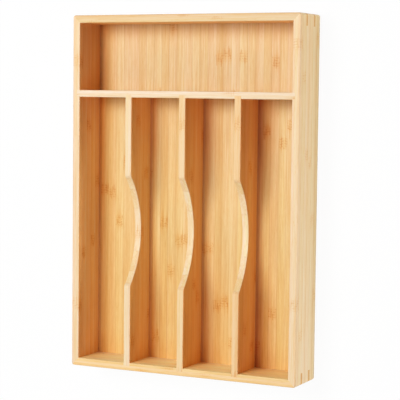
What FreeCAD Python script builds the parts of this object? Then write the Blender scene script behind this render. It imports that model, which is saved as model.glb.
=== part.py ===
import FreeCAD, Part
import math
import os

from FreeCAD import Vector

# Bamboo cutlery tray, lying flat with its open side up.
# X runs across the tray, Y from the front wall to the back wall and Z upwards.
# The origin is the middle of the underside, and all lengths are in millimetres.

# Overall size
TRAY_WIDTH = 250.0
TRAY_LENGTH = 360.0
TRAY_HEIGHT = 50.0

# Boards
WALL_THICKNESS = 7.8
DIVIDER_THICKNESS = 7.0
PANEL_THICKNESS = 5.0

# Compartments: one wide one at the back, and narrow ones between the long dividers
WIDE_BAY_LENGTH = 68.0
DIVIDER_NAMES = ("left_divider", "middle_divider", "right_divider")

# The bottom panel floats in grooves of the walls
PANEL_LIFT = 3.0
PANEL_GROOVE_DEPTH = 3.5
PANEL_PLAY = 0.2

# Depth of the glued housings that hold the ends of the dividers
CROSS_HOUSING_DEPTH = 3.0
LONG_HOUSING_DEPTH = 3.0

# Scallop cut into the top edge of each long divider, as a finger gap
SCALLOP_WIDTH = 111.5
SCALLOP_DEPTH = 22.5
SCALLOP_LIP_RADIUS = 4.0

# Keys across the mitred corners; the bridge is the wood left behind a key's kerf
KEY_THICKNESS = 4.0
KEY_BRIDGE = 2.5
KEY_HEIGHT_SHARES = {"lower": 0.30, "upper": 0.68}

# Sanded edges
CORNER_RADIUS = 2.5
OUTER_EDGE_RADIUS = 1.2
RIM_EASE = 0.8

# How far a cutter runs past what it cuts, and the margin for picking edges by place
OVERRUN = 5.0
SNAP = 0.001

# Sizes that follow from the ones above
INNER_WIDTH = TRAY_WIDTH - 2 * WALL_THICKNESS
INNER_LENGTH = TRAY_LENGTH - 2 * WALL_THICKNESS
FLOOR_LEVEL = PANEL_LIFT + PANEL_THICKNESS
INNER_BACK = INNER_LENGTH / 2
INNER_FRONT = -INNER_LENGTH / 2
CROSS_BACK = INNER_BACK - WIDE_BAY_LENGTH
CROSS_FRONT = CROSS_BACK - DIVIDER_THICKNESS
LONG_BAY_COUNT = len(DIVIDER_NAMES) + 1
LONG_BAY_WIDTH = (INNER_WIDTH - len(DIVIDER_NAMES) * DIVIDER_THICKNESS) / LONG_BAY_COUNT
SCALLOP_RADIUS = ((SCALLOP_WIDTH / 2) ** 2 + SCALLOP_DEPTH ** 2) / (2 * SCALLOP_DEPTH)
KEY_LEG = 2 * WALL_THICKNESS - KEY_BRIDGE * math.sqrt(2)


def block(x_span, y_span, z_span):
    """A box between the given low and high values along each axis."""
    low = Vector(x_span[0], y_span[0], z_span[0])
    high = Vector(x_span[1], y_span[1], z_span[1])
    size = high - low
    return Part.makeBox(size.x, size.y, size.z, low)


def centred(length):
    """The span of a length that is centred on zero."""
    return (-length / 2, length / 2)


def prism(plan_points, z_span):
    """An upright prism on a plan outline of (x, y) points."""
    corners = [Vector(x, y, z_span[0]) for x, y in plan_points]
    outline = Part.makePolygon(corners + corners[:1])
    return Part.Face(outline).extrude(Vector(0, 0, z_span[1] - z_span[0]))


def turned(shape, degrees):
    """The shape turned about the upright axis through the origin."""
    copy = shape.copy()
    copy.rotate(Vector(0, 0, 0), Vector(0, 0, 1), degrees)
    return copy


def is_level(edge):
    return edge.BoundBox.ZLength < SNAP


def is_upright(edge):
    return edge.BoundBox.XLength < SNAP and edge.BoundBox.YLength < SNAP


def tray_envelope():
    """The outside of the tray as a solid block with rounded corners and edges."""
    body = block(centred(TRAY_WIDTH), centred(TRAY_LENGTH), (0, TRAY_HEIGHT))
    body = body.makeFillet(CORNER_RADIUS, [edge for edge in body.Edges if is_upright(edge)])
    return body.makeFillet(OUTER_EDGE_RADIUS, [edge for edge in body.Edges if is_level(edge)])


def on_inner_rim(edge):
    """True for the top edges around the opening of the tray."""
    middle = edge.BoundBox.Center
    inside = abs(middle.x) < INNER_WIDTH / 2 + SNAP and abs(middle.y) < INNER_LENGTH / 2 + SNAP
    return is_level(edge) and middle.z > TRAY_HEIGHT - SNAP and inside


def wall_ring(envelope):
    """All four walls in one, with the panel's groove, before the corners are mitred."""
    opening = block(centred(INNER_WIDTH), centred(INNER_LENGTH), (-OVERRUN, TRAY_HEIGHT + OVERRUN))
    ring = envelope.cut(opening)
    ring = ring.makeFillet(RIM_EASE, [edge for edge in ring.Edges if on_inner_rim(edge)])
    groove = block(
        centred(INNER_WIDTH + 2 * PANEL_GROOVE_DEPTH),
        centred(INNER_LENGTH + 2 * PANEL_GROOVE_DEPTH),
        (PANEL_LIFT, FLOOR_LEVEL),
    )
    return ring.cut(groove)


def mitred_sector(half_across, half_along, degrees):
    """The space between two mitre planes that one wall takes from the ring."""
    reach = WALL_THICKNESS + OVERRUN
    outside = (half_across + OVERRUN, half_along + OVERRUN)
    inside = (half_across - reach, half_along - reach)
    plan = (
        outside,
        inside,
        (inside[0], -inside[1]),
        (outside[0], -outside[1]),
    )
    return turned(prism(plan, (-OVERRUN, TRAY_HEIGHT + OVERRUN)), degrees)


def bottom_panel():
    """The board that closes the underside, with room to swell in its grooves."""
    tongue = PANEL_GROOVE_DEPTH - PANEL_PLAY
    return block(
        centred(INNER_WIDTH + 2 * tongue),
        centred(INNER_LENGTH + 2 * tongue),
        (PANEL_LIFT, FLOOR_LEVEL),
    )


def divider_board(x_span, y_span):
    """A square-edged board that stands on the panel and ends level with the rim."""
    return block(x_span, y_span, (FLOOR_LEVEL, TRAY_HEIGHT))


def cross_blank():
    """The cross divider before its edges are eased, with its housed ends."""
    length = INNER_WIDTH + 2 * CROSS_HOUSING_DEPTH
    return divider_board(centred(length), (CROSS_FRONT, CROSS_BACK))


def long_blank(middle_x):
    """A long divider before its edges are eased, with its housed ends."""
    half = DIVIDER_THICKNESS / 2
    y_span = (INNER_FRONT - LONG_HOUSING_DEPTH, CROSS_FRONT + LONG_HOUSING_DEPTH)
    return divider_board((middle_x - half, middle_x + half), y_span)


def divider_middles():
    """The place across the tray of each long divider's middle plane."""
    pitch = LONG_BAY_WIDTH + DIVIDER_THICKNESS
    first = -(len(DIVIDER_NAMES) - 1) / 2 * pitch
    return [first + index * pitch for index in range(len(DIVIDER_NAMES))]


def scallop_wire(plane_x):
    """The exposed outline of a long divider seen from its side, with the scallop."""
    middle_y = (INNER_FRONT + CROSS_FRONT) / 2
    scallop_centre = Vector(plane_x, middle_y, TRAY_HEIGHT + SCALLOP_RADIUS - SCALLOP_DEPTH)
    scallop_bottom = Vector(plane_x, middle_y, TRAY_HEIGHT - SCALLOP_DEPTH)
    lip_level = TRAY_HEIGHT - SCALLOP_LIP_RADIUS
    centre_distance = SCALLOP_RADIUS + SCALLOP_LIP_RADIUS
    lip_offset = math.sqrt(centre_distance ** 2 - (scallop_centre.z - lip_level) ** 2)

    def lip(side):
        """Start, middle and end points of the rounded lip on one side of the scallop."""
        centre = Vector(plane_x, middle_y + side * lip_offset, lip_level)
        towards_scallop = (scallop_centre - centre).normalize()
        top = Vector(0, 0, 1)
        halfway = (top + towards_scallop).normalize()
        return [centre + way * SCALLOP_LIP_RADIUS for way in (top, halfway, towards_scallop)]

    front_lip = lip(-1)
    back_lip = lip(1)
    front_bottom = Vector(plane_x, INNER_FRONT, FLOOR_LEVEL)
    front_top = Vector(plane_x, INNER_FRONT, TRAY_HEIGHT)
    back_top = Vector(plane_x, CROSS_FRONT, TRAY_HEIGHT)
    back_bottom = Vector(plane_x, CROSS_FRONT, FLOOR_LEVEL)
    curves = [
        Part.LineSegment(front_bottom, front_top),
        Part.LineSegment(front_top, front_lip[0]),
        Part.Arc(*front_lip),
        Part.Arc(front_lip[2], scallop_bottom, back_lip[2]),
        Part.Arc(back_lip[2], back_lip[1], back_lip[0]),
        Part.LineSegment(back_lip[0], back_top),
        Part.LineSegment(back_top, back_bottom),
        Part.LineSegment(back_bottom, front_bottom),
    ]
    return Part.Wire([curve.toShape() for curve in curves])


def along_top(edge, faces_x):
    """True for an edge that follows the rim and the scallop on a side of a divider."""
    box = edge.BoundBox
    on_side = any(abs(box.XMin - x) < SNAP and box.XLength < SNAP for x in faces_x)
    return on_side and box.YLength > SNAP and box.ZMin > FLOOR_LEVEL + SNAP


def long_divider(middle_x):
    """A long divider with its scallop, eased top edges and square housed ends."""
    half = DIVIDER_THICKNESS / 2
    sides = (middle_x - half, middle_x + half)
    board = Part.Face(scallop_wire(sides[0])).extrude(Vector(DIVIDER_THICKNESS, 0, 0))
    board = board.makeFillet(RIM_EASE, [edge for edge in board.Edges if along_top(edge, sides)])
    front_end = divider_board(sides, (INNER_FRONT - LONG_HOUSING_DEPTH, INNER_FRONT))
    back_end = divider_board(sides, (CROSS_FRONT, CROSS_FRONT + LONG_HOUSING_DEPTH))
    return board.fuse([front_end, back_end]).removeSplitter()


def cross_divider(long_blanks):
    """The cross divider with eased top edges, square housed ends and the long dividers' housings."""
    y_span = (CROSS_FRONT, CROSS_BACK)
    board = divider_board(centred(INNER_WIDTH), y_span)

    def on_rim(edge):
        return edge.BoundBox.ZMin > TRAY_HEIGHT - SNAP and edge.BoundBox.XLength > SNAP

    board = board.makeFillet(RIM_EASE, [edge for edge in board.Edges if on_rim(edge)])
    right_end = divider_board((INNER_WIDTH / 2, INNER_WIDTH / 2 + CROSS_HOUSING_DEPTH), y_span)
    left_end = divider_board((-INNER_WIDTH / 2 - CROSS_HOUSING_DEPTH, -INNER_WIDTH / 2), y_span)
    return board.fuse([right_end, left_end]).removeSplitter().cut(long_blanks)


def key_blanks():
    """The untrimmed triangular keys, by name, across every corner of the tray."""
    blanks = {}
    for end, y_side in (("front", -1), ("back", 1)):
        for hand, x_side in (("left", -1), ("right", 1)):
            corner = (x_side * TRAY_WIDTH / 2, y_side * TRAY_LENGTH / 2)
            plan = (
                corner,
                (corner[0] - x_side * KEY_LEG, corner[1]),
                (corner[0], corner[1] - y_side * KEY_LEG),
            )
            for place, share in KEY_HEIGHT_SHARES.items():
                middle = share * TRAY_HEIGHT
                z_span = (middle - KEY_THICKNESS / 2, middle + KEY_THICKNESS / 2)
                blanks[f"{end}_{hand}_{place}_key"] = prism(plan, z_span)
    return blanks


def build():
    """Every piece of the tray, by name."""
    envelope = tray_envelope()
    ring = wall_ring(envelope)
    keys = key_blanks()
    long_blanks = [long_blank(middle) for middle in divider_middles()]
    walls_cut = list(keys.values()) + long_blanks + [cross_blank()]
    half_width = TRAY_WIDTH / 2
    half_length = TRAY_LENGTH / 2
    sectors = {
        "right_wall": mitred_sector(half_width, half_length, 0),
        "back_wall": mitred_sector(half_length, half_width, 90),
        "left_wall": mitred_sector(half_width, half_length, 180),
        "front_wall": mitred_sector(half_length, half_width, 270),
    }
    pieces = {}
    for name, sector in sectors.items():
        pieces[name] = ring.common(sector).cut(walls_cut)
    pieces["bottom_panel"] = bottom_panel()
    pieces["cross_divider"] = cross_divider(long_blanks)
    for name, middle in zip(DIVIDER_NAMES, divider_middles()):
        pieces[name] = long_divider(middle)
    for name, blank in keys.items():
        pieces[name] = envelope.common(blank)
    return pieces


def main():
    os.makedirs("parts", exist_ok=True)
    for name, shape in build().items():
        print(name, "solids:", len(shape.Solids), "valid:", shape.isValid())
        shape.exportStep(f"parts/{name}.step")


main()
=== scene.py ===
import math

import bpy
from mathutils import Matrix, Vector


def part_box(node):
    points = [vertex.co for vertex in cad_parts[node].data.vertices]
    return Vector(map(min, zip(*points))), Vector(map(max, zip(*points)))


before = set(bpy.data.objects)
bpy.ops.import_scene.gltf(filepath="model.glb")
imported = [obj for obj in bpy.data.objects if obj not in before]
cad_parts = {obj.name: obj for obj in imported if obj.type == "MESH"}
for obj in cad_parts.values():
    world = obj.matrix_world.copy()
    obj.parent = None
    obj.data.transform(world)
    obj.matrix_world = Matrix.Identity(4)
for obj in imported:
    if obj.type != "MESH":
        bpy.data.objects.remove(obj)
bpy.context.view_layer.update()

MM_PER_METRE = 1000.0
MIDDLE_SHARE = 0.5
OPAQUE = 1.0
CLOUD_DETAIL = 2.0

# The camera's place, the way it looks and its way up, in metres in the tray's frame, and its lens
CAMERA_PLACE = Vector((0.6563, 0.1058, 1.3535))
CAMERA_AHEAD = Vector((-0.43693, -0.07448, -0.89640))
CAMERA_UP = Vector((-0.04258, 0.99716, -0.06210))
FOCAL_PIXELS = 1476.3
PICTURE_PIXELS = 400
SENSOR_MM = 36.0

# The power of a lamp that, from one metre, shows a surface facing it in its own colour
PLAIN_WATTS = math.pi ** 2

# Soft lamps: where each stands and aims, its size, all in metres, and its share of plain light
LAMPS = {
    "key_softbox": {
        "place": (-0.36, 0.37, 1.48), "aim": (0.0, 0.0, 0.04),
        "size": (0.68, 0.68), "share": 0.785,
    },
    "fill_softbox": {
        "place": (0.75, -0.60, 1.20), "aim": (0.0, 0.0, 0.03),
        "size": (0.90, 0.90), "share": 0.15,
    },
    "front_softbox": {
        "place": (-0.40, -1.00, 0.65), "aim": (0.0, 0.0, 0.03),
        "size": (0.90, 0.40), "share": 0.18,
    },
    "back_softbox": {
        "place": (-0.15, 1.15, 0.42), "aim": (0.0, -0.15, 0.03),
        "size": (0.80, 0.30), "share": 0.08,
    },
    "side_card": {
        "place": (1.65, -0.18, 0.085), "aim": (0.125, -0.04, 0.03),
        "size": (2.00, 0.125), "share": 0.42,
    },
}

# The white backdrop and the white table, with half the table's width in metres
BACKDROP_LIGHT_SHARE = 0.08
FULL_WHITE = (1.0, 1.0, 1.0)
TABLE_WHITE = (0.96, 0.96, 0.96)
TABLE_GLOW_SHARE = 0.945
TABLE_HALF_WIDTH = 4.0

# Bamboo, as linear light, from its palest fibres to its deepest, with the place of each in the range
TONE_PLACE_SHARES = (0.15, 0.50, 0.90)
WALL_TONES = ((0.96, 0.765, 0.50), (0.93, 0.685, 0.37), (0.88, 0.575, 0.245))
EDGE_TONES = ((0.97, 0.81, 0.58), (0.95, 0.74, 0.46), (0.90, 0.63, 0.31))
FRONT_TONES = ((0.99, 0.89, 0.53), (0.985, 0.84, 0.43), (0.95, 0.72, 0.30))
FLOOR_TONES = ((0.847, 0.665, 0.335), (0.793, 0.558, 0.24), (0.734, 0.452, 0.155))
SIDE_TONES = ((0.92, 0.67, 0.34), (0.87, 0.585, 0.26), (0.80, 0.48, 0.175))
# A deeper copy of the side tones: painted shade for broad faces turned away from the lamps
PAINTED_SHADE_TONES = ((0.98, 0.60, 0.255), (0.96, 0.515, 0.18), (0.90, 0.415, 0.11))

# The fibres' streaks: length along the grain and width across it, in millimetres, and finer detail
STREAKS = {
    "fleck": {"size_mm": (6.0, 0.7), "detail": 2.0},
    "fine": {"size_mm": (40.0, 1.05), "detail": 3.0},
    "broad": {"size_mm": (110.0, 3.4), "detail": 2.0},
    "hair": {"size_mm": (20.0, 0.40), "detail": 3.0},
    "hue": {"size_mm": (240.0, 2.2), "detail": 2.0},
    "drift": {"size_mm": (120.0, 30.0), "detail": 1.0},
    "wear": {"size_mm": (18.0, 6.0), "detail": 2.0},
}
STREAK_ROUGHNESS_SHARE = 0.6
STREAK_START_LENGTHS = 400.0

# How far a strip's own depth and its streaks move the tone, and which streaks are stained
TONE_SHARES = {"strip": 0.38, "fine": 1.3, "fleck": 0.50, "broad": 0.50, "drift": 0.25}
FIBRE_STAINS = {
    "hair": {"place_shares": (0.58, 0.74), "share": 0.35},
    "fleck": {"place_shares": (0.66, 0.78), "share": 0.60},
}

# The hue of the bamboo runs from peach to straw, from strip to strip and from fibre to fibre
PEACH_TINT = (1.00, 0.985, 1.02)
STRAW_TINT = (0.995, 1.01, 0.94)
HUE_PLACE_SHARES = (0.2, 0.8)
HUE_SHARES = {"strip_hue": 0.6, "hue": 1.3}

# The strips that the boards are glued up from, with the glue between them
STRIP_MM = 8.75
PLY_MARGIN_MM = 0.05
GLUE_BROWN = (0.74, 0.55, 0.42)
SEAM_REACH_MM = (0.05, 0.45)
SEAM_CHANCE_SHARES = (0.3, 1.0)
SEAM_SHARES = (0.12, 0.60)
EDGE_SEAM_SHARE = 0.5

# The knuckles of the cane: a stained band across a strip, with wavy rings, and dashes along its fibres
KNUCKLE_SPACING_MM = 250.0
STAIN_REACH_MM = (2.0, 17.0)
STAIN_FIBRE_SHARES = (0.44, 0.62)
BAND_REACH_MM = (2.5, 8.0)
RING_SPACING_MM = 2.6
RING_REACH_MM = (0.15, 0.65)
RING_WAVE_MM = 5.0
RING_PATCH_MM = 2.2
RING_PATCH_SHARES = (0.42, 0.60)
FIBRE_MM = 1.0
DASH_SWING_MM = 11.0
DASH_REACH_MM = (0.6, 4.4)
DASH_SOFT_MM = 0.8
BROWN_DASH_SHARES = (0.40, 0.75)
PALE_DASH_SHARES = (0.10, 0.25)
EDGE_KNUCKLE_SHARE = 0.55
KNUCKLE_BROWN = (0.82, 0.51, 0.22)
KNUCKLE_STAIN = (0.95, 0.76, 0.46)
KNUCKLE_PALE = (1.08, 1.18, 1.30)
KNUCKLE_MARKS = {
    "stain": {"tint": KNUCKLE_STAIN, "share": 0.55},
    "band": {"tint": KNUCKLE_STAIN, "share": 0.30},
    "ring": {"tint": KNUCKLE_BROWN, "share": 0.58},
    "brown": {"tint": KNUCKLE_BROWN, "share": 0.45},
    "pale": {"tint": KNUCKLE_PALE, "share": 0.45},
}

# Where the knuckles of a board's strips lie along the grain, from the left or the lowest strip on
KNUCKLES_MM = {
    "bottom_panel": (
        -60, 1, -3, -32, 30, 60, -20, 20, 100, -31, -80, -49, -48, 25,
        -56, -54, 138, 141, 100, 139, 0, 100, 66, 134, 54, 72, 20, -40,
    ),
    "left_wall": (40, 10, -52, 68, -63, 134),
    "right_wall": (155, -20, 37, 44, -131, 150),
    "left_divider": (-126, 20, -40, 74, -150, -38),
    "middle_divider": (60, -104, -90, 20, -40, 71),
    "right_divider": (-80, 100, 30, -130, -40, 72),
}

# How deep the tone of each strip is, in the same order: 0 for the palest, 1 for the deepest
STRIP_TONE_SHARES = {
    "bottom_panel": (
        0.50, 0.80, 0.60, 0.25, 0.40, 0.40, 0.90, 0.30, 0.30, 0.85, 0.45, 0.45, 0.45, 0.55,
        0.55, 0.40, 0.85, 0.50, 0.20, 0.25, 0.60, 0.40, 0.75, 0.60, 0.55, 0.40, 0.62, 0.50,
    ),
    "left_wall": (0.35, 0.60, 0.52, 0.45, 0.35, 0.50),
    "right_wall": (0.45, 0.28, 0.38, 0.42, 0.45, 0.50),
    "front_wall": (0.45, 0.65, 0.35, 0.55, 0.60, 0.50),
    "back_wall": (0.60, 0.40, 0.55, 0.30, 0.65, 0.50),
    "cross_divider": (0.50, 0.40, 0.60, 0.45, 0.55, 0.50),
    "left_divider": (0.40, 0.35, 0.58, 0.74, 0.68, 0.40),
    "middle_divider": (0.55, 0.40, 0.45, 0.50, 0.70, 0.50),
    "right_divider": (0.50, 0.60, 0.40, 0.58, 0.86, 0.50),
}

# Each board: the axes of its strips, grain and plies, where a strip ends, its plies and its tones
PANEL = {
    "strips": "X", "grain": "Y", "plies": "Z", "strip_end_mm": -106.1, "ply_count": 1,
    "tones": FLOOR_TONES, "edge_tones": EDGE_TONES, "edge_shares": {"strip": 0.35},
}
WALL = {
    "strips": "Z", "strip_end_mm": 8.3, "ply_count": 3,
    "edge_tones": WALL_TONES, "edge_shares": {"strip": 0.15},
}
DIVIDER = {
    "strips": "Z", "strip_end_mm": 4.2, "ply_count": 2,
    "tones": SIDE_TONES, "edge_tones": EDGE_TONES, "edge_shares": {"strip": 0.60},
}
LENGTHWAYS = {"grain": "Y", "plies": "X"}
CROSSWAYS = {"grain": "X", "plies": "Y"}
# The side of a long divider facing right takes the deeper tones, as painted shade
LONG_DIVIDER = {**DIVIDER, **LENGTHWAYS, "shaded_side_tones": PAINTED_SHADE_TONES}
BOARDS = {
    "bottom_panel": PANEL,
    # The inner sides of the left and back walls take the deeper tones, as painted shade
    "left_wall": {**WALL, **LENGTHWAYS, "tones": SIDE_TONES, "shaded_side_tones": PAINTED_SHADE_TONES},
    "right_wall": {**WALL, **LENGTHWAYS, "tones": SIDE_TONES},
    "front_wall": {**WALL, **CROSSWAYS, "tones": FRONT_TONES},
    "back_wall": {**WALL, **CROSSWAYS, "tones": PAINTED_SHADE_TONES},
    "cross_divider": {**DIVIDER, **CROSSWAYS},
    "left_divider": LONG_DIVIDER,
    "middle_divider": LONG_DIVIDER,
    "right_divider": LONG_DIVIDER,
}

# A board's broad faces: how squarely they face the way its plies are laid, and a wall's inner side
FACING_SHARES = (0.3, 0.8)
BROAD_FACE_SHARES = (0.55, 0.95)
INNER_SIDE_REACH_MM = (0.2, 0.9)

# The rims of the boards, with painted shade on a wall rim's outer side, by its share of the thickness
RIM_DEPTHS_MM = (1.0, 3.0)
OUTER_RIM_SHADE_TINT = (0.98, 0.90, 0.82)
OUTER_RIM_SHARES = (0.50, 0.90)
RIM_TINTS = {
    "left_wall": (0.98, 1.01, 1.16),
    "right_wall": (0.99, 1.00, 1.09),
    "front_wall": (1.02, 0.97, 0.89),
    "back_wall": (0.89, 0.865, 0.81),
    "cross_divider": (0.96, 0.97, 1.05),
    "left_divider": (0.955, 0.93, 0.925),
    "middle_divider": (0.95, 0.885, 0.755),
    "right_divider": (0.95, 0.82, 0.69),
}

# Painted light and shade along a board's outside and its broad faces: shares of its length, and the tint
# at each
OUTER_LIGHT_AND_SHADE_TINTS = {
    "right_wall": ((0.08, (1.01, 1.03, 1.13)), (0.40, (0.98, 0.98, 1.01)), (0.85, (0.98, 0.96, 0.96))),
}
FACE_LIGHT_AND_SHADE_TINTS = {
    "bottom_panel": ((0.05, (1.03, 0.99, 0.85)), (0.76, (0.97, 0.98, 1.07)), (0.80, (1.00, 1.02, 1.23))),
    "front_wall": ((0.10, (0.98, 0.99, 1.06)), (0.62, (1.00, 1.00, 0.98)), (0.85, (0.965, 0.87, 0.80))),
    "left_wall": (
        (0.03, (0.96, 0.91, 1.06)), (0.25, (1.03, 1.09, 1.25)), (0.60, (1.03, 1.10, 1.26)),
        (0.765, (0.97, 0.91, 1.06)), (0.795, (0.91, 0.75, 0.69)), (0.96, (0.75, 0.64, 0.65)),
    ),
    "left_divider": (
        (0.03, (0.98, 0.91, 0.83)), (0.25, (1.04, 1.08, 1.03)),
        (0.75, (1.04, 1.13, 1.14)), (0.97, (1.00, 0.94, 0.91)),
    ),
    "middle_divider": (
        (0.03, (0.94, 0.80, 0.63)), (0.25, (1.03, 0.97, 0.83)),
        (0.75, (1.04, 1.02, 0.95)), (0.97, (0.97, 0.83, 0.72)),
    ),
    "right_divider": (
        (0.03, (0.94, 0.83, 0.81)), (0.25, (1.01, 0.96, 0.92)),
        (0.65, (1.03, 1.00, 0.99)), (0.97, (0.91, 0.76, 0.74)),
    ),
}

# Painted shade where boards meet: tints, and the distances over which each fades away
CORNER_SHADE_TINT = (0.86, 0.80, 0.94)
CORNER_REACH_MM = (1.8, 4.0)
FACE_CORNER_REACH_MM = (0.3, 2.0)
FACE_FOOT_SHADE_TINT = (0.94, 0.93, 0.93)
FACE_FOOT_REACH_MM = (1.0, 20.0)
FRONT_FACE_SHADE_TINT = (1.00, 0.88, 0.78)
FRONT_FACE_REACH_MM = (8.0, 40.0)

# Painted shade on the panel beside the long boards: a wide one, stronger towards the right, and one at
# each foot
SHADE_TINT = (1.03, 0.76, 0.56)
SHADE_REACH_MM = (5.0, 26.0)
SHADE_SHARES = (0.38, 1.1)
FOOT_REACH_MM = (2.5, 10.5)
FOOT_SHADE_TINTS = {
    "left_wall": (1.03, 0.67, 0.36),
    "left_divider": (1.04, 0.78, 0.57),
    "middle_divider": (0.91, 0.75, 0.71),
    "right_divider": (0.76, 0.56, 0.52),
}

# The panel behind the scallops, where painted light weakens and pales the painted shade
SCALLOP_LIGHT_SHIFT_MM = 8.0
SCALLOP_LIGHT_REACH_MM = (25.0, 95.0)
SCALLOP_LIGHT_SHARE = 0.75
LIT_FOOT_SHADE_TINTS = {
    **FOOT_SHADE_TINTS,
    "left_divider": (1.11, 0.93, 0.73),
    "middle_divider": (1.09, 0.95, 0.78),
    "right_divider": (1.02, 0.82, 0.66),
}

# Painted shade on the panel beside the left wall, deeper towards the back, and at its foot in the wide
# compartment
WALL_FOOT_PLACE_SHARES = (0.1, 0.7)
WALL_FOOT_SHARES = (0.40, 1.0)
WALL_SHADE_TINT = (1.00, 0.985, 0.79)
WALL_SHADE_REACH_MM = (10.0, 24.0)
WIDE_FOOT_SHADE_TINT = (0.82, 0.97, 1.32)
WIDE_FOOT_REACH_MM = (2.0, 8.0)

# Painted shade on the panel at the front and the back of the compartments
FRONT_SHADE_TINT = (0.96, 0.90, 0.84)
FRONT_REACH_MM = (4.0, 30.0)
BACK_SHADE_TINT = (1.00, 0.92, 0.83)
BACK_REACH_MM = (3.0, 20.0)
WIDE_BACK_SHADE_TINT = (0.975, 0.94, 0.91)

# The lacquer, its roughness along the fibres, and where handling has rubbed it off, whose paler edges are
# partly a painted highlight
LACQUER_SPECULAR_SHARE = 0.25
ROUGH_PLACE_SHARES = (0.25, 0.75)
ROUGH_SHARES = (0.44, 0.58)
WEAR_PLACE_SHARES = (0.35, 0.65)
WEAR_AND_HIGHLIGHT_TONE_SHARE = 0.15
WEAR_ROUGH_SHARE = 0.12
EDGE_PEAK_SCALE = 4.0

# The relief of the grain: its depth, and how far each of its marks rises or sinks
GRAIN_RELIEF = {"depth_mm": 0.08, "strength_share": 0.35}
RELIEF_SHARES = {"hair": -0.5, "seam": -0.4, "band": 0.3, "brown": -0.4}

# The keys across the corners: darker bamboo, with the dots of its cut fibre bundles
KEY_TONES = ((0.88, 0.52, 0.18), (0.76, 0.39, 0.12))
KEY_TONE_PLACE_SHARES = (0.25, 0.75)
KEY_CLOUDS_PER_MM = 0.3
KEY_DOT_BROWN = (0.48, 0.24, 0.08)
KEY_DOTS_PER_MM = 1.5
KEY_DOT_REACH_SHARES = (0.10, 0.45)
KEY_DOT_SHARE = 0.40
KEY_ROUGH_PLACE_SHARES = (0.3, 0.7)
KEY_ROUGH_SHARES = (0.50, 0.62)
KEY_RELIEF = {"depth_mm": 0.06, "strength_share": 0.3}

# Where a mix of colours takes its factor and its two colours, and where it gives the mixed one
MIX_INPUTS = (0, 6, 7)
MIX_OUTPUT = 2


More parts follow.
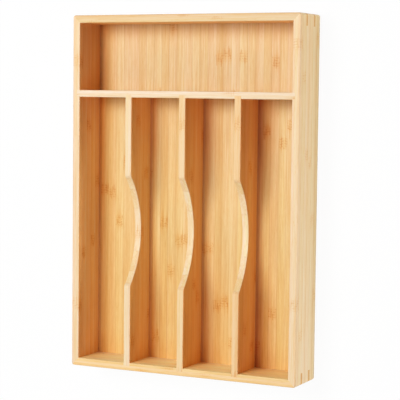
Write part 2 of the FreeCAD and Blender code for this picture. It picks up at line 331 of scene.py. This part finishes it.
class Shader:
    """A material's nodes, with short ways to add and link them."""

    def __init__(self, name):
        self.material = bpy.data.materials.new(name)
        self.material.use_nodes = True
        self.tree = self.material.node_tree
        self.tree.nodes.clear()

    def feed(self, socket, value):
        if isinstance(value, bpy.types.NodeSocket):
            self.tree.links.new(value, socket)
        elif isinstance(value, tuple) and socket.type == "RGBA":
            socket.default_value = (*value, OPAQUE)
        else:
            socket.default_value = value

    def node(self, kind, inputs=None, **settings):
        made = self.tree.nodes.new(kind)
        for name, value in settings.items():
            setattr(made, name, value)
        for name, value in (inputs or {}).items():
            self.feed(made.inputs[name], value)
        return made

    def math(self, operation, *values):
        made = self.node("ShaderNodeMath", operation=operation)
        for socket, value in zip(made.inputs, values):
            self.feed(socket, value)
        return made.outputs[0]

    def add(self, first, second):
        return self.math("ADD", first, second)

    def less(self, first, second):
        return self.math("SUBTRACT", first, second)

    def times(self, first, second):
        return self.math("MULTIPLY", first, second)

    def over(self, first, second):
        return self.math("DIVIDE", first, second)

    def size(self, value):
        return self.math("ABSOLUTE", value)

    def rest(self, share):
        """What a share leaves of the whole."""
        return self.less(1.0, share)

    def off_middle(self, share):
        return self.less(share, MIDDLE_SHARE)

    def level(self, parts, shares, start=MIDDLE_SHARE):
        """The start, plus a share of how far each named part swings about its own middle."""
        total = start
        for name, share in shares.items():
            total = self.math("MULTIPLY_ADD", self.off_middle(parts[name]), share, total)
        return total

    def combine(self, x, y, z):
        return self.node("ShaderNodeCombineXYZ", {"X": x, "Y": y, "Z": z}).outputs[0]

    def scaled(self, vector, scale):
        made = self.node("ShaderNodeVectorMath", {0: vector, "Scale": scale}, operation="SCALE")
        return made.outputs[0]

    def noise(self, vector, detail=CLOUD_DETAIL, roughness_share=MIDDLE_SHARE):
        inputs = {"Vector": vector, "Scale": 1.0, "Detail": detail, "Roughness": roughness_share}
        return self.node("ShaderNodeTexNoise", inputs).outputs["Fac"]

    def chances(self, vector):
        """Three even chances, the same wherever the vector is the same."""
        made = self.node("ShaderNodeTexWhiteNoise", {"Vector": vector}, noise_dimensions="3D")
        return self.node("ShaderNodeSeparateColor", {0: made.outputs["Color"]}).outputs

    def step(self, value, low, high, to_low=0.0, to_high=1.0):
        """A smooth step from to_low, where the value is low, to to_high, where it is high."""
        inputs = {"Value": value, "From Min": low, "From Max": high, "To Min": to_low, "To Max": to_high}
        return self.node("ShaderNodeMapRange", inputs, interpolation_type="SMOOTHSTEP").outputs[0]

    def near(self, distance, reach):
        """1 within the first of two reaches, and 0 past the second."""
        return self.step(distance, reach[1], reach[0])

    def mix(self, factor, first, second, blend="MIX"):
        made = self.node("ShaderNodeMix", data_type="RGBA", blend_type=blend, clamp_factor=True)
        for index, value in zip(MIX_INPUTS, (factor, first, second)):
            self.feed(made.inputs[index], value)
        return made.outputs[MIX_OUTPUT]

    def tint(self, factor, colour, tint):
        return self.mix(factor, colour, tint, "MULTIPLY")

    def tints(self, colour, shades):
        """The colour, with each (factor, tint) shade laid over it."""
        for factor, tint in shades:
            colour = self.tint(factor, colour, tint)
        return colour

    def ramp(self, value, places, colours, change="LINEAR"):
        made = self.node("ShaderNodeValToRGB", {"Fac": value})
        made.color_ramp.interpolation = change
        elements = made.color_ramp.elements
        while len(elements) < len(places):
            elements.new(MIDDLE_SHARE)
        for element, place, colour in zip(elements, places, colours):
            element.position = place
            element.color = (*colour, OPAQUE)
        return made.outputs["Color"]

    def lacquered(self, colour, roughness, height, depth_mm, strength_share):
        """The material, lacquered over a relief of the given depth."""
        relief = {"Strength": strength_share, "Distance": depth_mm / MM_PER_METRE, "Height": height}
        bump = self.node("ShaderNodeBump", relief)
        surface = {
            "Base Color": colour, "Roughness": roughness, "Normal": bump.outputs[0],
            "Specular IOR Level": LACQUER_SPECULAR_SHARE,
        }
        principled = self.node("ShaderNodeBsdfPrincipled", surface)
        self.node("ShaderNodeOutputMaterial", {"Surface": principled.outputs[0]})
        return self.material


def span_mm(name, axis):
    """The lowest and highest place of a board along an axis, in millimetres."""
    return tuple(corner["XYZ".index(axis)] * MM_PER_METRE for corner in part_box(name))


def share_of_span(shader, value, name, axis):
    """How far along a board a place lies, from 0 at its lowest end to 1 at its highest."""
    low, high = span_mm(name, axis)
    return shader.over(shader.less(value, low), high - low)


def object_place(shader):
    """A point's place in the tray's frame, in millimetres."""
    return shader.scaled(shader.node("ShaderNodeTexCoord").outputs["Object"], MM_PER_METRE)


class Grain:
    """A point's place in a glued-up board, in millimetres, with its strip's own chances."""

    def __init__(self, shader, name, seed):
        board = BOARDS[name]
        axes = shader.node("ShaderNodeSeparateXYZ", {0: object_place(shader)}).outputs
        self.seed = seed
        self.along = axes[board["grain"]]
        self.across = axes[board["strips"]]
        self.through = axes[board["plies"]]
        self.height = axes["Z"]
        self.length_share = share_of_span(shader, self.along, name, board["grain"])
        self.rim = shader.near(shader.less(span_mm(name, "Z")[1], self.height), RIM_DEPTHS_MM)
        self.find_strip(shader, name, board)
        self.find_side(shader, name, board)

    def find_strip(self, shader, name, board):
        """The point's strip, its place across that strip, and the chances of the strip and its ply."""
        low, high = span_mm(name, board["plies"])
        ply_mm = (high - low + 2 * PLY_MARGIN_MM) / board["ply_count"]
        ply = shader.math("FLOOR", shader.over(shader.less(self.through, low - PLY_MARGIN_MM), ply_mm))
        strips = shader.over(shader.less(self.across, board["strip_end_mm"]), STRIP_MM)
        self.strip = shader.math("FLOOR", strips)
        self.share = shader.math("FRACT", strips)
        self.chance = shader.chances(shader.combine(self.strip, ply, self.seed))

    def find_side(self, shader, name, board):
        """Whether the point is on a broad face, and on the inner or the outer side of a wall."""
        low, high = span_mm(name, board["plies"])
        normal = shader.node("ShaderNodeNewGeometry").outputs["Normal"]
        facing = shader.node("ShaderNodeSeparateXYZ", {0: normal}).outputs[board["plies"]]
        self.broadside = shader.size(facing)
        self.upper_face = shader.step(facing, *FACING_SHARES)
        self.inside = shader.step(self.broadside, *BROAD_FACE_SHARES)
        if name.endswith("_wall"):
            depth = shader.less(shader.size(self.through), min(abs(low), abs(high)))
            self.inside = shader.times(self.inside, shader.near(depth, INNER_SIDE_REACH_MM))
            self.outer_side = shader.step(shader.over(depth, high - low), *OUTER_RIM_SHARES)


def streaks(shader, grain, size_mm, detail):
    """Streaks along the grain, of about the given length and width, that differ from strip to strip."""
    length_mm, width_mm = size_mm
    start = shader.times(grain.chance["Green"], STREAK_START_LENGTHS)
    along = shader.add(shader.over(grain.along, length_mm), start)
    across = shader.over(grain.across, width_mm)
    through = shader.over(grain.through, width_mm)
    return shader.noise(shader.combine(along, across, through), detail, STREAK_ROUGHNESS_SHARE)


def by_strip(shader, grain, name, shares):
    """The share listed for a point's strip, from the left or the lowest strip of the board on."""
    board = BOARDS[name]
    count = len(shares)
    first = math.floor((span_mm(name, board["strips"])[0] - board["strip_end_mm"]) / STRIP_MM)
    stops = [index / count for index in range(count)]
    turn = shader.over(shader.less(grain.strip, first - MIDDLE_SHARE), count)
    return shader.ramp(turn, stops, [(share, share, share) for share in shares], "CONSTANT")


def along_board(shader, grain, stops):
    """The tint at a point of a board, from tints that are listed by their share of its length."""
    places, tints = zip(*stops)
    return shader.ramp(grain.length_share, places, tints)


def knuckle_place(shader, grain, name):
    """How far along its spacing a strip's knuckle lies: as listed, or by chance."""
    if name not in KNUCKLES_MM:
        return grain.chance["Blue"]
    places = [place / KNUCKLE_SPACING_MM % 1.0 for place in KNUCKLES_MM[name]]
    return by_strip(shader, grain, name, places)


def rings(shader, grain, off_knuckle):
    """Thin wavy lines across the strip, broken here and there."""
    across = shader.combine(grain.across, grain.through, grain.seed)
    wave = shader.noise(shader.scaled(across, 1.0 / RING_WAVE_MM))
    turns = shader.over(shader.math("MULTIPLY_ADD", wave, RING_WAVE_MM, off_knuckle), RING_SPACING_MM)
    off_ring = shader.size(shader.off_middle(shader.math("FRACT", turns)))
    line = shader.near(shader.times(off_ring, RING_SPACING_MM), RING_REACH_MM)
    place = shader.combine(grain.across, grain.through, grain.along)
    patch = shader.noise(shader.scaled(place, 1.0 / RING_PATCH_MM))
    return shader.times(line, shader.step(patch, *RING_PATCH_SHARES))


def dashes(shader, grain, off_knuckle):
    """Short dashes along the fibres at a knuckle, some brown and some pale."""
    column = shader.math("FLOOR", shader.over(grain.across, FIBRE_MM))
    row = shader.math("FLOOR", shader.over(grain.through, FIBRE_MM))
    chance = shader.chances(shader.combine(column, row, grain.seed))
    shift = shader.times(shader.off_middle(chance["Red"]), DASH_SWING_MM)
    reach = shader.step(chance["Green"], 0.0, 1.0, *DASH_REACH_MM)
    past_end = shader.less(shader.size(shader.add(off_knuckle, shift)), reach)
    dash = shader.near(past_end, (-DASH_SOFT_MM, DASH_SOFT_MM))
    brown = shader.times(dash, shader.step(chance["Blue"], *BROWN_DASH_SHARES))
    pale = shader.times(dash, shader.near(chance["Blue"], PALE_DASH_SHARES))
    return {"brown": brown, "pale": pale}


def knuckles(shader, grain, name, fine):
    """The joints of the cane: a stained band across a strip, with rings, and dashes on most fibres."""
    place = knuckle_place(shader, grain, name)
    turn = shader.less(shader.over(grain.along, KNUCKLE_SPACING_MM), shader.off_middle(place))
    off_knuckle = shader.times(shader.off_middle(shader.math("FRACT", turn)), KNUCKLE_SPACING_MM)
    distance = shader.size(off_knuckle)
    band = shader.near(distance, BAND_REACH_MM)
    stain = shader.times(shader.near(distance, STAIN_REACH_MM), shader.step(fine, *STAIN_FIBRE_SHARES))
    ring = shader.times(band, rings(shader, grain, off_knuckle))
    marks = {"stain": stain, "band": band, "ring": ring, **dashes(shader, grain, off_knuckle)}
    strength = shader.step(grain.inside, 0.0, 1.0, EDGE_KNUCKLE_SHARE)
    return {kind: shader.times(mark, strength) for kind, mark in marks.items()}


def right_of_wall(shader, x):
    """How far a place lies to the right of the left wall, in millimetres."""
    return shader.less(x, span_mm("left_wall", "X")[1])


def right_of_board(shader, x):
    """How far a place in a long compartment lies to the right of the board on its left, in millimetres."""
    pitch = span_mm("left_divider", "X")[1] - span_mm("left_wall", "X")[1]
    return shader.math("FLOORED_MODULO", right_of_wall(shader, x), pitch)


def before_board(shader, grain, in_wide_bay):
    """How far a point of the panel lies in front of the board behind it, in millimetres."""
    cross_face = span_mm("cross_divider", "Y")[0]
    back_face = span_mm("back_wall", "Y")[0]
    face = shader.step(in_wide_bay, 0.0, 1.0, cross_face, back_face)
    return shader.less(face, grain.along)


def scallop_light(shader, grain):
    """1 where light falls on the panel through the scallops of the long dividers, 0 away from them."""
    middle = sum(span_mm("middle_divider", "Y")) / 2 + SCALLOP_LIGHT_SHIFT_MM
    return shader.near(shader.size(shader.less(grain.along, middle)), SCALLOP_LIGHT_REACH_MM)


def foot_shade_tint(shader, grain, tints):
    """The painted shade tint of the panel at the foot of the long board on the left."""
    low, high = span_mm("bottom_panel", "X")
    places = [(span_mm(name, "X")[1] - low) / (high - low) for name in tints]
    places[0] = 0.0
    share = share_of_span(shader, grain.across, "bottom_panel", "X")
    return shader.ramp(share, places, tints.values(), "CONSTANT")


def side_shades(shader, grain, in_wide_bay):
    """How much a point of the panel takes of each painted shade tint beside the long boards, and that
    tint.
    """
    past_wall = right_of_wall(shader, grain.across)
    in_bay = shader.times(past_wall, in_wide_bay)
    beside = shader.math("MAXIMUM", right_of_board(shader, grain.across), in_bay)
    past_divider = shader.math("GREATER_THAN", grain.across, span_mm("left_divider", "X")[0])
    lit = shader.times(past_divider, scallop_light(shader, grain))
    side_share = shader.step(grain.across, *span_mm("bottom_panel", "X"), *SHADE_SHARES)
    side_share = shader.times(side_share, shader.rest(shader.times(lit, SCALLOP_LIGHT_SHARE)))
    wall_share = shader.step(grain.length_share, *WALL_FOOT_PLACE_SHARES, *WALL_FOOT_SHARES)
    foot_share = shader.math("MAXIMUM", wall_share, past_divider)
    # Painted shade at each board's foot, paler where light falls through the scallops
    foot = foot_shade_tint(shader, grain, FOOT_SHADE_TINTS)
    foot = shader.mix(lit, foot, foot_shade_tint(shader, grain, LIT_FOOT_SHADE_TINTS))
    return [
        (shader.times(shader.near(beside, SHADE_REACH_MM), side_share), SHADE_TINT),
        (shader.times(shader.near(beside, FOOT_REACH_MM), foot_share), foot),
        # Painted shade beside the left wall, and at its foot in the wide compartment
        (shader.times(shader.near(past_wall, WALL_SHADE_REACH_MM), wall_share), WALL_SHADE_TINT),
        (shader.times(shader.near(past_wall, WIDE_FOOT_REACH_MM), in_wide_bay), WIDE_FOOT_SHADE_TINT),
        (shader.near(beside, CORNER_REACH_MM), CORNER_SHADE_TINT),
    ]


def end_shades(shader, grain, in_wide_bay):
    """How much a point of the panel takes of each painted shade tint at the ends of a compartment, and
    that tint.
    """
    behind_front = shader.less(grain.along, span_mm("front_wall", "Y")[1])
    back_share = shader.near(before_board(shader, grain, in_wide_bay), BACK_REACH_MM)
    return [
        (shader.near(behind_front, FRONT_REACH_MM), FRONT_SHADE_TINT),
        (back_share, BACK_SHADE_TINT),
        (shader.times(back_share, in_wide_bay), WIDE_BACK_SHADE_TINT),
    ]


def panel_colour(shader, grain, colour):
    """The colour of the panel, whose upper face has painted shade near the boards that stand on it."""
    in_wide_bay = shader.math("GREATER_THAN", grain.along, span_mm("cross_divider", "Y")[0])
    shades = side_shades(shader, grain, in_wide_bay) + end_shades(shader, grain, in_wide_bay)
    shades = [(shader.times(grain.upper_face, factor), tint) for factor, tint in shades]
    return shader.tints(colour, shades)


def standing_colour(shader, grain, name, colour):
    """The colour of an upright board's broad faces, with painted shade at their feet and, on the front
    wall, beside the board on its left.
    """
    # Painted shade on the front wall beside the board on its left
    if name == "front_wall":
        beside = right_of_board(shader, grain.along)
        colour = shader.tint(shader.near(beside, FRONT_FACE_REACH_MM), colour, FRONT_FACE_SHADE_TINT)
    # Painted shade at the foot of each face and in its corner with the panel
    above_panel = shader.less(grain.height, span_mm("bottom_panel", "Z")[1])
    colour = shader.tint(shader.near(above_panel, FACE_FOOT_REACH_MM), colour, FACE_FOOT_SHADE_TINT)
    return shader.tint(shader.near(above_panel, FACE_CORNER_REACH_MM), colour, CORNER_SHADE_TINT)


def face_colour(shader, grain, name, tone):
    """The colour of a board's broad faces, with painted light and shade from end to end and from left to
    right.
    """
    board = BOARDS[name]
    colour = shader.ramp(tone, TONE_PLACE_SHARES, board["tones"])
    # The side facing right takes the deeper tones, as painted shade
    if "shaded_side_tones" in board:
        shaded_side_colour = shader.ramp(tone, TONE_PLACE_SHARES, board["shaded_side_tones"])
        colour = shader.mix(grain.upper_face, colour, shaded_side_colour)
    # Painted light and shade along the board
    if name in FACE_LIGHT_AND_SHADE_TINTS:
        colour = shader.tint(1.0, colour, along_board(shader, grain, FACE_LIGHT_AND_SHADE_TINTS[name]))
    if name == "bottom_panel":
        return panel_colour(shader, grain, colour)
    return standing_colour(shader, grain, name, colour)


def edge_colour(shader, grain, name, tone):
    """The colour of a board's edges and rim, and of the outside of a wall, where light and shade are
    painted in.
    """
    colour = shader.ramp(tone, TONE_PLACE_SHARES, BOARDS[name]["edge_tones"])
    # Painted light and shade along the outside
    if name in OUTER_LIGHT_AND_SHADE_TINTS:
        outer_light_and_shade = along_board(shader, grain, OUTER_LIGHT_AND_SHADE_TINTS[name])
        colour = shader.tint(shader.rest(grain.rim), colour, outer_light_and_shade)
    if name in RIM_TINTS:
        colour = shader.tint(grain.rim, colour, RIM_TINTS[name])
    # Painted shade on the outer side of a wall's rim
    if name.endswith("_wall"):
        colour = shader.tint(shader.times(grain.rim, grain.outer_side), colour, OUTER_RIM_SHADE_TINT)
    return colour


def bamboo_colour(shader, grain, name, fibres):
    """The colour of plain bamboo: pale on the rims and outside, deeper in the compartments, partly as
    painted shade.
    """
    strip = by_strip(shader, grain, name, STRIP_TONE_SHARES[name])
    parts = {**fibres, "strip": strip, "strip_hue": grain.chance["Blue"]}
    slope = shader.times(shader.off_middle(grain.share), shader.off_middle(grain.chance["Green"]))
    tone = shader.add(shader.level(parts, TONE_SHARES), slope)
    edge_tone = shader.level(parts, BOARDS[name]["edge_shares"], tone)
    edge = edge_colour(shader, grain, name, edge_tone)
    colour = shader.mix(grain.inside, edge, face_colour(shader, grain, name, tone))
    hue = shader.level(parts, HUE_SHARES)
    return shader.tint(1.0, colour, shader.ramp(hue, HUE_PLACE_SHARES, (PEACH_TINT, STRAW_TINT)))


def worn_and_highlit_edge(shader, grain, wear):
    """Where handling has rubbed the lacquer off the rounded edges, in patches; their paler colour is
    partly a painted highlight.
    """
    square = shader.times(grain.broadside, grain.broadside)
    edge = shader.times(shader.times(square, shader.rest(square)), EDGE_PEAK_SCALE)
    return shader.times(edge, shader.step(wear, *WEAR_PLACE_SHARES))


def glue_seam(shader, grain):
    """The thin line of glue between two strips, plainest on the broad faces."""
    edge_share = shader.math("MINIMUM", grain.share, shader.rest(grain.share))
    line = shader.near(shader.times(edge_share, STRIP_MM), SEAM_REACH_MM)
    return shader.times(line, shader.step(grain.broadside, *FACING_SHARES, EDGE_SEAM_SHARE))


def mark_shades(shader, grain, fibres, marks):
    """How much a point takes of the tints of stained fibres, knuckles and glue, and each tint."""
    shades = []
    for kind, stain in FIBRE_STAINS.items():
        stained = shader.step(fibres[kind], *stain["place_shares"])
        shades.append((shader.times(stained, stain["share"]), KNUCKLE_STAIN))
    for kind, mark in KNUCKLE_MARKS.items():
        shades.append((shader.times(marks[kind], mark["share"]), mark["tint"]))
    seam_share = shader.step(grain.chance["Blue"], *SEAM_CHANCE_SHARES, *SEAM_SHARES)
    shades.append((shader.times(marks["seam"], seam_share), GLUE_BROWN))
    return shades


def board_material(name, seed):
    """Natural bamboo, glued up from strips, sanded and lacquered."""
    shader = Shader(f"bamboo_{name}")
    grain = Grain(shader, name, seed)
    fibres = {kind: streaks(shader, grain, **settings) for kind, settings in STREAKS.items()}
    marks = knuckles(shader, grain, name, fibres["fine"])
    marks["seam"] = glue_seam(shader, grain)
    wear_and_highlight = worn_and_highlit_edge(shader, grain, fibres["wear"])
    colour = bamboo_colour(shader, grain, name, fibres)
    colour = shader.tints(colour, mark_shades(shader, grain, fibres, marks))
    # Paler rounded edges: rubbed lacquer, and partly a painted highlight
    colour = shader.mix(shader.times(wear_and_highlight, WEAR_AND_HIGHLIGHT_TONE_SHARE), colour, EDGE_TONES[0])
    roughness = shader.step(fibres["hair"], *ROUGH_PLACE_SHARES, *ROUGH_SHARES)
    roughness = shader.add(roughness, shader.times(wear_and_highlight, WEAR_ROUGH_SHARE))
    height = shader.level({**fibres, **marks}, RELIEF_SHARES)
    return shader.lacquered(colour, roughness, height, **GRAIN_RELIEF)


def key_material():
    """Darker bamboo, cut across the grain, with the dots of its fibre bundles."""
    shader = Shader("bamboo_key")
    place = object_place(shader)
    cells = shader.node("ShaderNodeTexVoronoi", {"Vector": place, "Scale": KEY_DOTS_PER_MM})
    dots = cells.outputs["Distance"]
    cloud = shader.noise(shader.scaled(place, KEY_CLOUDS_PER_MM))
    colour = shader.ramp(cloud, KEY_TONE_PLACE_SHARES, KEY_TONES)
    dot_share = shader.times(shader.near(dots, KEY_DOT_REACH_SHARES), KEY_DOT_SHARE)
    colour = shader.mix(dot_share, colour, KEY_DOT_BROWN)
    roughness = shader.step(cloud, *KEY_ROUGH_PLACE_SHARES, *KEY_ROUGH_SHARES)
    return shader.lacquered(colour, roughness, dots, **KEY_RELIEF)


def dress():
    """Gives every board and key its material."""
    for seed, name in enumerate(BOARDS, start=1):
        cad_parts[name].material_slots[0].material = board_material(name, seed)
    keys = key_material()
    for name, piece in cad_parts.items():
        if name.endswith("_key"):
            piece.material_slots[0].material = keys


def seen_directly(tree):
    """1 for the camera and for mirror-like and see-through surfaces, 0 for light that is scattered."""
    path = tree.nodes.new("ShaderNodeLightPath").outputs
    total = path["Is Camera Ray"]
    for name in ("Is Glossy Ray", "Is Transmission Ray"):
        either = tree.nodes.new("ShaderNodeMath")
        either.operation = "MAXIMUM"
        tree.links.new(total, either.inputs[0])
        tree.links.new(path[name], either.inputs[1])
        total = either.outputs[0]
    return total


def table_material():
    """White cloth that looks evenly bright and still takes a pale shadow."""
    shader = Shader("white_table")
    cloth = shader.node("ShaderNodeBsdfDiffuse", {"Color": TABLE_WHITE})
    glow = shader.node("ShaderNodeEmission", {"Color": FULL_WHITE, "Strength": 1.0})
    share = shader.times(seen_directly(shader.tree), TABLE_GLOW_SHARE)
    both = shader.node("ShaderNodeMixShader", {0: share, 1: cloth.outputs[0], 2: glow.outputs[0]})
    shader.node("ShaderNodeOutputMaterial", {"Surface": both.outputs[0]})
    return shader.material


def table():
    """A wide white table, which keeps a pale shadow of the tray."""
    half = TABLE_HALF_WIDTH
    mesh = bpy.data.meshes.new("table")
    corners = [(-half, -half, 0.0), (half, -half, 0.0), (half, half, 0.0), (-half, half, 0.0)]
    mesh.from_pydata(corners, [], [(0, 1, 2, 3)])
    mesh.materials.append(table_material())
    top = bpy.data.objects.new("table", mesh)
    bpy.context.scene.collection.objects.link(top)


def surroundings():
    """A white backdrop, which lights the tray only a little."""
    world = bpy.data.worlds.new("backdrop")
    world.use_nodes = True
    bpy.context.scene.world = world
    tree = world.node_tree
    level = tree.nodes.new("ShaderNodeMapRange")
    level.inputs["To Min"].default_value = BACKDROP_LIGHT_SHARE
    level.inputs["To Max"].default_value = 1.0
    tree.links.new(seen_directly(tree), level.inputs["Value"])
    background = tree.nodes["Background"]
    background.inputs["Color"].default_value = (*FULL_WHITE, OPAQUE)
    tree.links.new(level.outputs[0], background.inputs["Strength"])


def lamp(name, place, aim, size, share):
    """A soft oblong lamp that lights its aim at the given share of plain light."""
    light = bpy.data.lights.new(name, "AREA")
    light.shape = "RECTANGLE"
    light.size, light.size_y = size
    way = Vector(aim) - Vector(place)
    light.energy = share * PLAIN_WATTS * way.length_squared
    body = bpy.data.objects.new(name, light)
    body.location = place
    body.rotation_euler = way.to_track_quat("-Z", "Y").to_euler()
    body.visible_camera = False
    bpy.context.scene.collection.objects.link(body)


def camera():
    """The camera, turned so that it looks ahead with its own way up."""
    data = bpy.data.cameras.new("camera")
    data.sensor_width = SENSOR_MM
    data.lens = FOCAL_PIXELS / PICTURE_PIXELS * SENSOR_MM
    body = bpy.data.objects.new("camera", data)
    ahead = CAMERA_AHEAD.normalized()
    right = ahead.cross(CAMERA_UP).normalized()
    up = right.cross(ahead)
    turn = Matrix((right, up, -ahead)).transposed()
    body.matrix_world = Matrix.Translation(CAMERA_PLACE) @ turn.to_4x4()
    bpy.context.scene.collection.objects.link(body)
    bpy.context.scene.camera = body


dress()
table()
surroundings()
for lamp_name, settings in LAMPS.items():
    lamp(lamp_name, **settings)
camera()
bpy.context.scene.view_settings.view_transform = "Standard"
